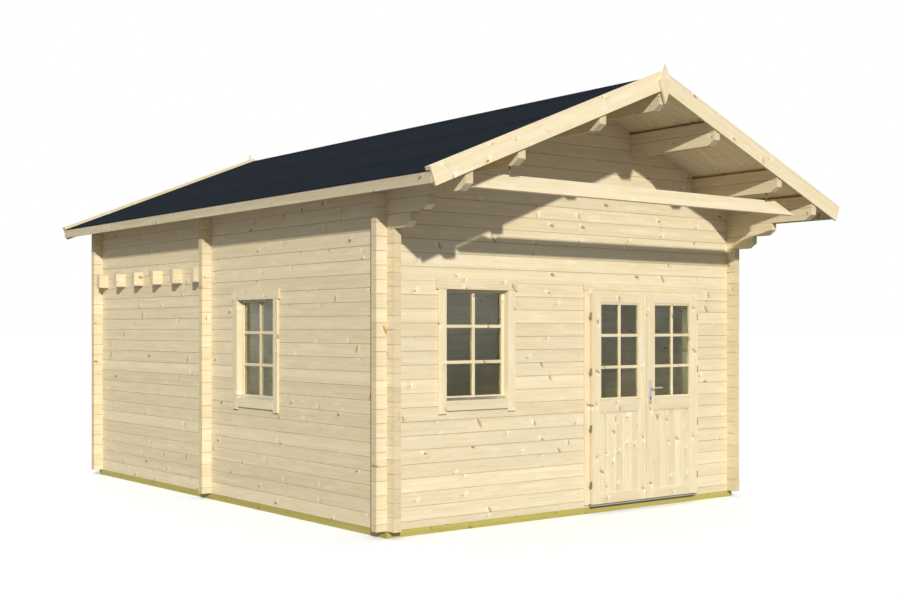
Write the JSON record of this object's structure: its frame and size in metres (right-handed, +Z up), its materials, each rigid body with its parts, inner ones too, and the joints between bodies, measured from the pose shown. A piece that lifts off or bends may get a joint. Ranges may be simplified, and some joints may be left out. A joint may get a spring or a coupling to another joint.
{
  "type": "garden house",
  "caption": "Planed log garden house with a sleeping loft, gabled felt roof over a deep front overhang, glazed double door and two barred windows",
  "frame": {"origin": "Middle of the overall box at ground level", "axes": "+X to the right along the front, +Y into the depth towards the rear, +Z up"},
  "size_m": [4.882, 7.02, 3.86],
  "materials": {
    "log_wood": "planed spruce, untreated",
    "board_wood": "planed spruce boards",
    "trim_wood": "planed spruce, smooth",
    "treated_wood": "pressure-treated, olive green",
    "felt": "mineral roofing felt, matte",
    "steel": "brushed",
    "hinge_steel": "yellowed zinc",
    "aluminium": "mill finish",
    "glass": "clear"
  },
  "bodies": {
    "house": {"foundation_front": "treated_wood", "foundation_rear": "treated_wood", "foundation_sides": "treated_wood", "foundation_middle": "treated_wood", "floor_joists": "treated_wood", "floor_boards": "board_wood", "front_wall_left": "log_wood", "front_wall_right": "log_wood", "front_gable": "log_wood", "rear_wall": "log_wood", "left_wall": "log_wood", "right_wall": "log_wood", "partition_wall": "log_wood", "loft_joists": "log_wood", "loft_floor": "board_wood", "eaves_beams": "log_wood", "lower_purlins": "log_wood", "upper_purlins": "log_wood", "ridge_purlin": "log_wood", "tie_beam": "log_wood", "tie_rods": "steel", "roof_boards_left": "board_wood", "roof_boards_right": "board_wood", "roof_felt_left": "felt", "roof_felt_right": "felt", "fascia_boards": "trim_wood", "barge_boards_front": "trim_wood", "barge_boards_rear": "trim_wood", "verge_caps": "trim_wood", "finials": "trim_wood", "door_frame": "trim_wood", "door_sill": "trim_wood", "door_casing": "trim_wood", "threshold_strip": "aluminium", "hinge_pins": "hinge_steel", "front_window_frame": "trim_wood", "side_window_frame": "trim_wood", "front_window_casing": "trim_wood", "side_window_casing": "trim_wood", "window_glass": "glass", "window_drip_strips": "aluminium"},
    "left_leaf": {"door_leaf_left": "trim_wood", "door_glass_left": "glass", "hinge_barrels_left": "hinge_steel"},
    "right_leaf": {"door_leaf_right": "trim_wood", "door_glass_right": "glass", "hinge_barrels_right": "hinge_steel", "handle_plates": "steel"},
    "lever": {"lever_handle": "steel"}
  },
  "joints": [
    {"name": "left_door_hinge", "type": "hinge", "parent": "house", "child": "left_leaf", "pos_m": [0.106, -2.52, 1], "axis": [0, 0, -1], "range_deg": [0, 110]},
    {"name": "right_door_hinge", "type": "hinge", "parent": "house", "child": "right_leaf", "pos_m": [1.528, -2.52, 1], "axis": [0, 0, 1], "range_deg": [0, 110]},
    {"name": "lever_turn", "type": "hinge", "parent": "right_leaf", "child": "lever", "pos_m": [0.858, -2.5125, 1.115], "axis": [0, 1, 0], "range_deg": [0, 40]}
  ]
}
